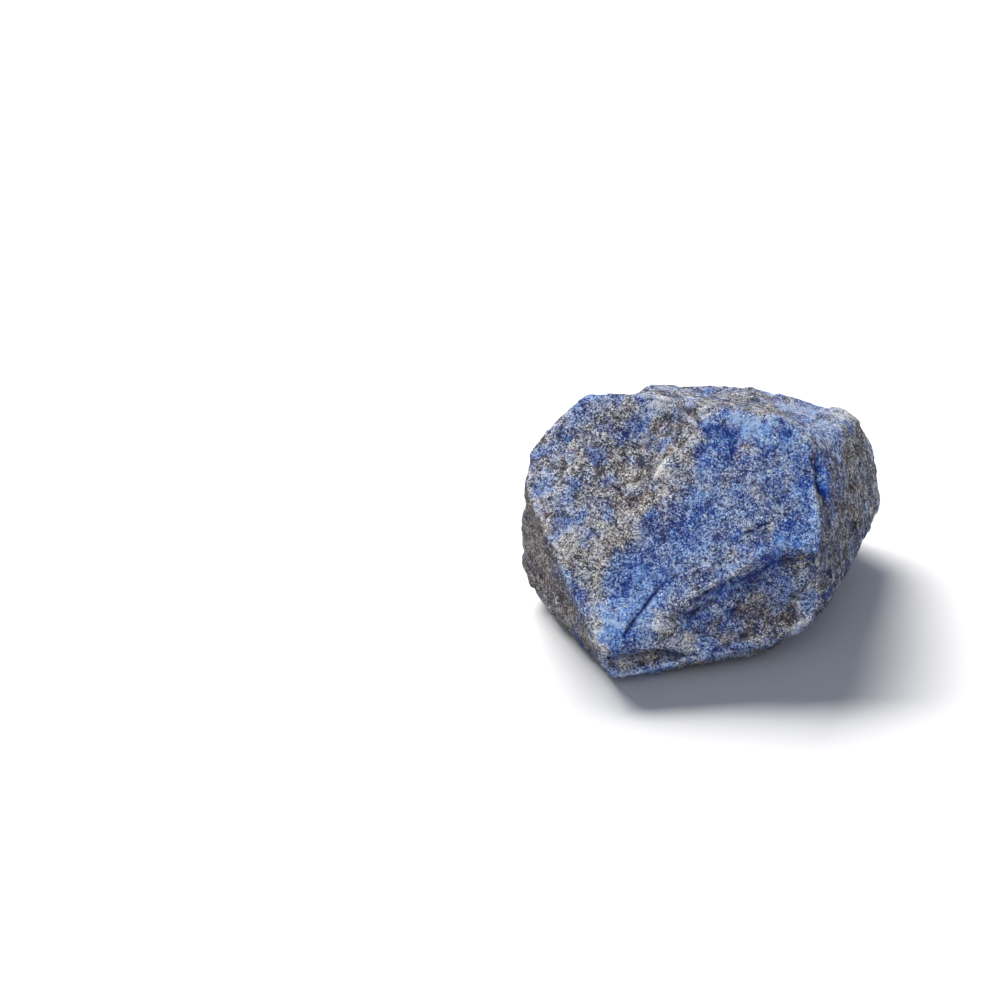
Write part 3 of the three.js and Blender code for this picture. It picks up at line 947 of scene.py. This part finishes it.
# Painted shade below the overhang, under the front rim.
streak(shade, 0.7, 1.1, overhang, strength=1, looseness=0.1)
streak(shade, 0.85, 0.4, looseness=0.2,
    first_line=[(844, 428), (848, 459), (846, 481)],
    second_line=[(855, 421), (862, 459), (864, 495)],
    third_line=[(832, 500), (830, 530), (828, 556)],
    fourth_line=[(838, 505), (840, 522), (836, 540)],
    fifth_line=[(850, 500), (848, 520), (846, 545)],
    sixth_line=[(852, 440), (856, 470), (857, 500)])
dab(shade, 0.2, ledge_veil=[(740, 600, 4), (775, 585, 4), (775, 620, 4), (740, 635, 3), (710, 620, 3)])
print("darkest stain", round(float(shade.max()), 2))

# %% [markdown]
# ## Calm and bright places
# Some faces broke clean, and their grain shows less. Others catch the light or lie turned away from it,
# and this is painted in as light and shade; a few spots and lines of the rock are pale of themselves. The
# last two layers hold this: calm weakens the grain, and bright lifts the tone, or lowers it where it is
# below zero.

# %% Calm the grain in places
dab(calm, 0.8, pocket, strength=1)
dab(calm, 0.35, plate_top=[
    (713, 430, 1.6), (725, 430, 1.6), (745, 425, 2), (765, 430, 2), (788, 431, 2), (768, 446, 1.6)])
streak(calm, 0.5, 0.6, lower_rim)
streak(calm, 0.6, 0.4, right_edge)
streak(calm, 0.5, 0.9, left_edge)
dab(calm, 0.5, smooth_flakes=[
    (770, 560, 2), (755, 575, 2), (718, 594, 1.5), (800, 625, 1.5), (735, 536, 1.2), (640, 575, 2)])
dab(calm, 0.15, white_spot=[(662, 402, 1.6), (668, 406, 1.2)])
dab(calm, 0.35, smooth_patches=[
    (684, 413, 1.4), (696, 416, 1.2), (667, 454, 1.2), (661, 466, 1.2), (535, 475, 2), (808, 490, 1.4),
    (612, 630, 2)])
print("calm above 0.3 on", cover(calm, 0.3))

# %% Brighten and darken the faces
# Painted light and shade: the corner, the nose and the grey foot are lifted and the ledge lowered, to match
# how light falls on them.
dab(bright, 0.78, nose=[(612, 618, 2.6), (610, 634, 2.6), (640, 600, 3), (650, 630, 2.4)])
dab(bright, 0.4, foot_of_nose=[(628, 660, 2)])
dab(bright, 0.8, corner=[(800, 410, 4), (842, 415, 3), (835, 445, 2.4), (812, 440, 1.6)])
dab(bright, 0.9, corner_middle=[(825, 425, 2.6), (822, 440, 1.8)])
dab(bright, 0.95, corner_edge=[(840, 422, 1.6), (839, 438, 1.4), (837, 453, 1.2)])
dab(bright, 0.22, grey_foot=[(580, 530, 4), (560, 500, 4), (595, 560, 4), (640, 480, 4)])
dab(bright, -0.26, ledge=[(740, 600, 4), (775, 590, 4), (775, 620, 4), (740, 632, 3), (710, 620, 3)])
dab(bright, -0.35, left_hollow=[(571, 465, 1.8)])
dab(bright, -0.28, ridge_side=[(632, 460, 2.2), (610, 470, 2), (650, 480, 1.8)])
dab(bright, 0.85, pale_top=[
    (735, 416, 1.4), (747, 424, 1.5), (758, 424, 1.5), (766, 432, 1.5), (768, 443, 1.1), (775, 424, 1)])
dab(bright, 0.4, clear_flecks=[
    (788, 541, 1.3), (779, 536, 1), (800, 443, 1), (795, 546, 1.1), (645, 588, 1.2), (611, 628, 1.2)])
dab(bright, 0.7, white_spot=[(662, 402, 1.7), (656, 404, 1), (669, 407, 1.1)])
dab(bright, 1.35, white_crumbs=[
    (654, 400, 0.6), (660, 403, 0.7), (666, 403, 0.6), (671, 407, 0.7), (662, 408, 0.5)])
dab(bright, 0.8, shoulder_edge=[(682, 412, 1.1), (692, 416, 1.2), (703, 417, 0.9)])
dab(bright, 0.6, left_edge_spots=[
    (551, 540, 1), (560, 546, 1.2), (568, 549, 1.3), (575, 541, 1), (529, 475, 1.2), (532, 487, 1)])
dab(bright, -0.22, deep_blue_top=[(716, 431, 1.6), (726, 432, 1.5), (736, 430, 1)])
dab(bright, -0.35, blue_corner)
dab(bright, 0.2, small_flecks=[(718, 447, 1.2), (726, 447, 1), (611, 645, 1)])
print("bright above 0.3 on", cover(bright, 0.3))

# %% Brighten the rubbed edges
# Edges painted pale, partly as wear and partly as a painted highlight; the lit cream ridge gets a painted
# highlight, and the overhang painted shade.
streak(bright, 0.7, 0.22, strength=1, looseness=0.2, pale_line=[
    (711, 441), (722, 440), (733, 438), (746, 436)])
streak(bright, 1.25, 0.55, strength=1, cream_ridge=[(674, 448), (667, 458), (661, 468), (653, 478)])
streak(bright, 0.45, 0.2, right_edge, strength=1, looseness=0.1)
streak(bright, 0.75, 0.3, lower_rim, strength=1, looseness=0.1)
streak(bright, 1.2, 0.75, strength=1, looseness=0.4, rubbed_rim=[
    (786, 636), (794, 631), (803, 624), (809, 616)])
streak(bright, 0.2, 0.6, lip=[(690, 594), (706, 588), (722, 578), (738, 568), (752, 558)])
dab(bright, 0.25, pocket_top, strength=1)
dab(bright, 0.06, pocket_foot, strength=1)
streak(bright, -0.3, 1.2, overhang, strength=1, looseness=0.1)
print("bright above 0.3 on", cover(bright, 0.3))

# %% [markdown]
# ## Pale edges and shaded hollows
# Edges are made paler, partly as rubbed wear and partly as a painted highlight, and hollows get painted
# shade. A point on an edge stands out from the average of its neighbours, and a point in a hollow lies
# below it, so the layers come from the difference between the stone and a smoothed copy of it. The two
# ends and the back of the top are told from the broad faces by where the smoothed copy faces.

# %% Tell the ends and the top by where they face
smooth_rounds = 12

smooth_normals = relaxed(normals, smooth_rounds)
facing_x, facing_y, facing_z = smooth_normals.T
side = np.clip(2.0 * np.abs(facing_x) - 0.8, 0, 1)
top = np.clip(3.0 * facing_y - 0.3, 0, 1) * (facing_z > 0.5)


def on_ends(right, left):
    """One value for the right end of the stone and one for the left, fading out towards the broad faces."""
    return np.where(facing_x > 0, right, left) * side


# Painted shade: the two ends, the left one more, and a little of the top are darkened, to match how light
# falls on them.
shade = np.maximum(shade, on_ends(right=0.18, left=0.36))
bright = bright - on_ends(right=0.66, left=0.76)
fibrous = on_ends(right=1.0, left=0.4)
shade = np.maximum(shade, 0.12 * top)
calm = np.maximum(calm, 0.60 * top)
print("ends", cover(side, 0.5), "and top", cover(top, 0.5))

# %% Find the edges and the hollows
fully_worn = 0.10

stands_out = ((points - relaxed(points, smooth_rounds)) * normals).sum(1) / MM
# Edges are made paler, partly as wear and partly as a painted highlight; hollows get painted shade.
worn = np.clip(stands_out / fully_worn, 0, 1)
hollow = np.clip(-stands_out / fully_worn, 0, 1)
print("worn", round(float(worn.mean()), 3), "hollow", round(float(hollow.mean()), 3))

layers = dict(lazurite=lazurite, rust=rust, chalk=chalk, shade=shade, worn=worn)
layers.update(hollow=hollow, fibrous=fibrous, top=top, calm=calm, bright=bright)
for name, amounts in layers.items():
    attribute = stone.data.attributes.new(name, "FLOAT", "POINT")
    attribute.data.foreach_set("value", amounts.astype(np.float32))

# %% [markdown]
# ## The stone's material
# The layers say what lies where, and the material adds what is finer than the points: patches about a
# millimetre across, and sugary grains 0.15 mm wide, each with its own brightness, tint and tilt. A colour
# ramp turns the amount of lazurite into a colour, from olive grey through lavender to deep ultramarine.

# %% Start the material
skin = bpy.data.materials.new("Lapis")
skin.use_nodes = True
tree = skin.node_tree
shader = tree.nodes["Principled BSDF"]
place = put(tree, "ShaderNodeTexCoord").outputs["Object"]


def painted(name):
    """What a layer holds."""
    return put(tree, "ShaderNodeAttribute", attribute_name=name).outputs["Fac"]


def times(a, b):
    return calc(tree, "MULTIPLY", a, b)


def plus(base, extra, weight):
    """A value with another one added to it, times a weight."""
    return calc(tree, "MULTIPLY_ADD", extra, weight, base)


def centred(value):
    """A value between 0 and 1, moved down to lie around zero."""
    return calc(tree, "SUBTRACT", value, 0.5)


def mixed(factor, a, b, blend="MIX"):
    settings = {"data_type": "RGBA", "blend_type": blend, "clamp_factor": True}
    return put(tree, "ShaderNodeMix", {0: factor, 6: a, 7: b}, **settings).outputs[2]


def ramp(value, stops):
    """A colour ramp with its stops given as {position: colour}."""
    node = put(tree, "ShaderNodeValToRGB", {0: value})
    for i, (position, colour) in enumerate(sorted(stops.items())):
        stop = node.color_ramp.elements[i] if i < 2 else node.color_ramp.elements.new(position)
        stop.position = position
        stop.color = (*colour, 1)
    return node.outputs["Color"]


def grey(value):
    return (value, value, value)


print("material starts with", len(tree.nodes), "nodes")

# %% Spread the lazurite in patches and flakes
flake_size = 0.9
patch_edge = 0.32

wandering = shifted(tree, place, size=0.9, amount=0.45)
crooked = shifted(tree, place, size=0.30, amount=0.14)
flaky = shifted(tree, wandering, size=0.35, amount=0.20)
patches = centred_noise(tree, wandering, size=1.7, detail=4.0, roughness=0.62)
flecks = centred_noise(tree, crooked, size=0.45, detail=2.0, roughness=0.6)
patches = remapped(tree, patches, -patch_edge, patch_edge, -1.0, 1.0, interpolation_type="SMOOTHSTEP")
flakes = cells(tree, flaky, flake_size)
flake_chance = put(tree, "ShaderNodeSeparateColor", {0: flakes["Color"]}).outputs
amount = plus(painted("lazurite"), patches, 0.15)
amount = plus(amount, centred(flake_chance[1]), 0.17)
amount = plus(amount, flecks, 0.06)
colour = ramp(
    amount,
    {
        0.00: (0.205, 0.188, 0.165),
        0.22: (0.222, 0.228, 0.272),
        0.42: (0.178, 0.218, 0.385),
        0.60: (0.132, 0.200, 0.500),
        0.78: (0.074, 0.166, 0.555),
        0.92: (0.036, 0.132, 0.565),
        1.00: (0.022, 0.105, 0.520),
    },
)


def patchy(name, size, spread):
    """A layer broken up by noise, so that none of it lies where the layer has none."""
    noise_share = centred_noise(tree, wandering, size, detail=3.0, roughness=0.65)
    return times(painted(name), plus(1.0, noise_share, spread))


rust_colour = (0.290, 0.140, 0.078, 1)
colour = mixed(times(patchy("rust", size=0.6, spread=2.4), 0.90), colour, rust_colour)
print("blue, grey and rust are in")

# %% Make a pale and a dark sister of every colour
pale = ramp(
    amount,
    {
        0.05: (0.78, 0.73, 0.66),
        0.28: (0.66, 0.69, 0.78),
        0.45: (0.46, 0.55, 0.89),
        0.62: (0.30, 0.47, 0.95),
        0.85: (0.16, 0.43, 0.98),
        1.00: (0.10, 0.37, 1.00),
    },
)
dark = ramp(
    amount,
    {
        0.05: (0.030, 0.025, 0.024),
        0.28: (0.022, 0.024, 0.045),
        0.45: (0.014, 0.022, 0.085),
        0.62: (0.006, 0.018, 0.125),
        0.90: (0.002, 0.018, 0.190),
    },
)
colour = mixed(patchy("chalk", size=0.8, spread=1.4), colour, pale)
colour = mixed(times(patchy("worn", size=0.5, spread=1.4), 0.40), colour, pale)
print("chalk and worn edges are in")

# %% [markdown]
# ## The grains
# A grain that faces the light or is cleaved clean looks pale, and one that lies in a hollow looks nearly
# black. So all that makes a grain lighter or darker, its own random tone and the painted light and shade of
# the bright layer, is added up in one tone, each with a weight of its own. Where the tone is high it mixes
# in the pale sister of the colour, and where it is low the dark one.

# %% Make the grains' patterns
grain_size = 0.15
chip_size = 0.65

grains = cells(tree, crooked, grain_size)
chance = put(tree, "ShaderNodeSeparateColor", {0: grains["Color"]}).outputs


def swirled_noise(size, detail=2.0, roughness=0.5, swirl=0.4, kind="FBM"):
    return cloud(tree, crooked, size, detail, roughness, swirl, kind)[0]


fibre = swirled_noise(0.22, detail=3.0, roughness=0.80, swirl=1.0)
creases = swirled_noise(1.3, detail=4.0, roughness=0.6, swirl=0.5, kind="RIDGED_MULTIFRACTAL")
mottle = swirled_noise(1.0, detail=3.0, roughness=0.6, swirl=0.6)
tone = plus(-0.80, chance[0], 1.9)
tone = plus(tone, centred(fibre), 15.5)
evenness = plus(0.15, swirled_noise(2.2), 1.8)
evenness = times(evenness, plus(1.0, painted("calm"), -0.8))
clusters = plus(-0.5, swirled_noise(0.9), 3.0)
chips = cells(tree, flaky, chip_size, feature="DISTANCE_TO_EDGE")["Distance"]
chip_lines = remapped(tree, chips, 0.0, 0.13, 1.0, 0.0)
broken_here = remapped(tree, mottle, 0.42, 0.58, 0.0, 1.0)
creased = times(chip_lines, broken_here)
print("grains are", grain_size, "mm wide and chips", chip_size, "mm")

# %% Add up the tone
evenness = times(evenness, clusters)
tone = times(tone, evenness)
tone = plus(tone, creased, -0.9)
tone = plus(tone, painted("bright"), 1.3)
tone = plus(tone, centred(mottle), 3.1)
tone = plus(tone, centred(flake_chance[0]), 1.0)
tone = plus(tone, centred(swirled_noise(3.0)), 2.8)

fibre_width = 0.3


def stretched_noise(stretch):
    """Noise drawn out along one axis, as the fibres of a sheared face are."""
    drawn = put(tree, "ShaderNodeMapping", {0: place, "Scale": stretch}).outputs[0]
    return centred(cloud(tree, drawn, fibre_width, detail=3.0, roughness=0.7)[0])


long_fibres = stretched_noise((0.4, 0.4, 0.06))
upright = plus(stretched_noise((1, 1, 0.10)), long_fibres, 0.8)
upright = times(upright, painted("fibrous"))
level = times(stretched_noise((0.15, 1, 1)), painted("top"))
tone = plus(tone, upright, 8.5)
tone = plus(tone, level, 7.0)
lighter = plus(-0.20, tone, 0.9)
darker = times(tone, -1.5)
glint = plus(-1.40, tone, 2.3)
print("tone takes", len(tree.nodes), "nodes so far")

# %% Colour the grains
# The purest blue stays deep, so the paler colours may cover less of it.
tints = plus(swirled_noise(1.6, detail=3.0, roughness=0.6, swirl=0.5), chance[2], 0.12)
tint = ramp(tints, {0.40: (0.84, 1.03, 1.04), 0.56: (1.0, 1.0, 1.0), 0.74: (1.20, 0.96, 0.99)})
colour = mixed(1.0, colour, tint, "MULTIPLY")
purity = ramp(amount, {0.62: grey(0.92), 0.95: grey(0.60)})
colour = mixed(calc(tree, "MINIMUM", lighter, purity), colour, pale)
colour = mixed(calc(tree, "MINIMUM", darker, 0.94), colour, dark)
# Painted glints: where the tone is highest the grains take a pale blue-white, as highlights painted into the
# colour.
glassy = ramp(amount, {0.20: (1.0, 0.98, 0.96), 0.45: (0.78, 0.86, 1.0), 0.70: (0.56, 0.75, 1.0)})
colour = mixed(calc(tree, "MINIMUM", glint, purity), colour, glassy)

# A few grains in a hundred get a painted glint whatever their tone, and a few are black.
glitter = (0.72, 0.84, 1.0, 1)
colour = mixed(ramp(chance[1], {0.945: grey(0.0), 0.965: grey(0.75)}), colour, glitter)
colour = mixed(ramp(chance[1], {0.04: grey(0.8), 0.06: grey(0.0)}), colour, dark)
# Painted shade: the shade layer and the hollows mix the dark colour in.
stain = plus(times(painted("shade"), 0.8), painted("hollow"), 0.6)
colour = mixed(stain, colour, dark)
tree.links.new(colour, shader.inputs["Base Color"])
print("colour takes", len(tree.nodes), "nodes so far")

# %% Tilt and roughen the grains
facet_tilt = 0.6
bump_height = 0.12 * MM

facet = scaled(tree, vector(tree, "SUBTRACT", grains["Color"], half), facet_tilt)
bumps = plus(times(fibre, 2.4), grains["Distance"], -0.25)
bumps = plus(bumps, creases, 1.2)
bumped = put(tree, "ShaderNodeBump", {"Strength": 1.0, "Distance": bump_height, "Height": bumps}).outputs[0]
tilted = vector(tree, "NORMALIZE", vector(tree, "ADD", bumped, facet))
tree.links.new(tilted, shader.inputs["Normal"])
tree.links.new(remapped(tree, chance[2], 0.0, 1.0, 0.30, 0.95), shader.inputs["Roughness"])
shader.inputs["Specular IOR Level"].default_value = 0.35

stone.data.materials.clear()
stone.data.materials.append(skin)
print("material has", len(tree.nodes), "nodes")

# %% [markdown]
# ## Light on the stone
# Three soft lamps light only the stone. The box overhead gives the top its brightness, the one far behind
# rims the upper edges, and the weak one in front keeps the lower faces from going black.

# %% Hang the stone's lamps
overhead = (-0.25, 0.0, 1.0)
in_front = (-0.3, -1.0, 0.8)
for_stone = {"colour": (1, 1, 1), "lit": [stone]}
soft_lamp("Top box", overhead, 0.8, width=0.25, height=0.25, watts=4.8, **for_stone)
soft_lamp("Back box", behind_left, far_off, width=3.3, height=1.2, watts=115.0, **for_stone)
soft_lamp("Front box", in_front, 1.0, width=0.4, height=0.4, watts=1.2, **for_stone)
print("stone's lamps hung")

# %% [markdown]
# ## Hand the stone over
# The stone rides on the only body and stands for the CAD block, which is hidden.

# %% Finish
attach(stone, "root")
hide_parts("stone")
